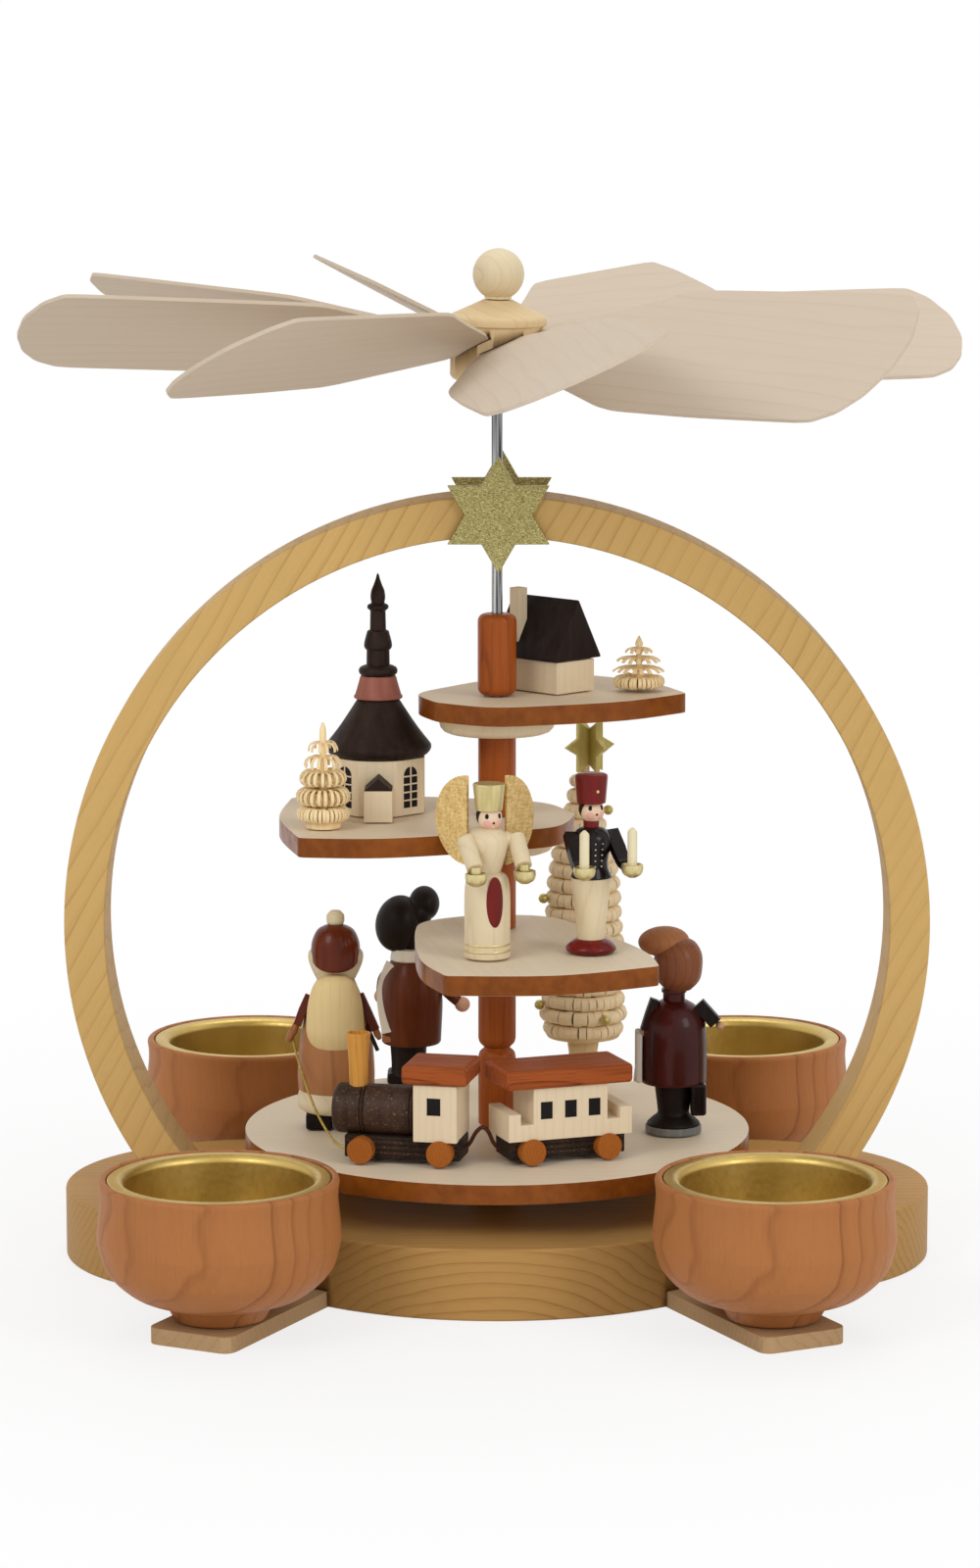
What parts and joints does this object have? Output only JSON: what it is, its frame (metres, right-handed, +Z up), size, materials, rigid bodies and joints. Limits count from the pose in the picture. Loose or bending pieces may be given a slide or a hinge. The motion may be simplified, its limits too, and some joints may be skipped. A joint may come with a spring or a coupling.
{
  "type": "candle carousel",
  "caption": "Wooden table candle carousel: arch on a lobed base, tea light cups, bladed wheel and turning tiers with small figures.",
  "frame": {"origin": "on the shaft's axis, at the underside of the base board", "axes": "+Z up along the shaft, +X to the viewer's right across the arch, -Y towards the viewer"},
  "size_m": [0.2069, 0.2073, 0.2249],
  "materials": {
    "ash": "oiled ash, satin",
    "beech": "raw beech",
    "cherry": "turned cherry, satin lacquer",
    "maple": "natural, satin",
    "birch": "natural, matt",
    "veneer": "thin raw veneer",
    "tier": "natural face with a brown lacquered edge",
    "padauk": "red-brown, glossy lacquer",
    "wenge": "dark brown stain",
    "brass": "pressed, satin",
    "gold": "gold paint",
    "steel": "bright steel",
    "twine": "brown twine"
  },
  "bodies": {
    "stand": {"base_board": "ash", "arch": "ash", "arch_screw_left": "steel", "arch_screw_right": "steel", "star_front": "gold", "star_back": "gold", "bearing_pan": "brass", "arch_bush": "brass", "arm_front_left": "beech", "arm_back_left": "beech", "arm_front_right": "beech", "arm_back_right": "beech", "cup_front_left": "cherry", "cup_back_left": "cherry", "cup_front_right": "cherry", "cup_back_right": "cherry"},
    "carousel": {"shaft": "steel", "platform": "tier", "column_lower": "padauk", "column_middle": "padauk", "column_upper": "padauk", "handle": "padauk", "third_shelf": "tier", "second_shelf": "tier", "top_shelf": "tier", "second_washer": "maple", "top_washer": "maple", "church_walls": "birch", "church_roof": "wenge", "church_spire": "wenge", "house_walls": "birch", "house_roof": "wenge", "pine_tree": "birch", "church_tree": "birch", "house_tree": "birch", "angel": "maple", "miner": "wenge", "gnome": "cherry", "hat_man": "wenge", "coat_man": "padauk", "engine": "wenge", "engine_roof": "padauk", "wagon": "wenge", "wagon_roof": "padauk", "leash": "gold", "coupling_string": "twine"},
    "wheel": {"hub": "maple", "knob": "maple", "blade_1": "veneer", "blade_2": "veneer", "blade_3": "veneer", "blade_4": "veneer", "blade_5": "veneer", "blade_6": "veneer", "blade_7": "veneer", "blade_8": "veneer"},
    "pan_front_left": {"insert_front_left": "brass"},
    "pan_back_left": {"insert_back_left": "brass"},
    "pan_front_right": {"insert_front_right": "brass"},
    "pan_back_right": {"insert_back_right": "brass"}
  },
  "joints": [
    {"name": "carousel_turn", "type": "hinge", "parent": "stand", "child": "carousel", "pos_m": [0, 0, 0.016], "axis": [0, 0, 1], "continuous": true},
    {"name": "wheel_lift", "type": "slide", "parent": "carousel", "child": "wheel", "axis": [0, 0, 1], "range_m": [0, 0.03]},
    {"name": "pan_front_left_lift", "type": "slide", "parent": "stand", "child": "pan_front_left", "axis": [0, 0, 1], "range_m": [0, 0.04]},
    {"name": "pan_back_left_lift", "type": "slide", "parent": "stand", "child": "pan_back_left", "axis": [0, 0, 1], "range_m": [0, 0.04]},
    {"name": "pan_front_right_lift", "type": "slide", "parent": "stand", "child": "pan_front_right", "axis": [0, 0, 1], "range_m": [0, 0.04]},
    {"name": "pan_back_right_lift", "type": "slide", "parent": "stand", "child": "pan_back_right", "axis": [0, 0, 1], "range_m": [0, 0.04]}
  ]
}
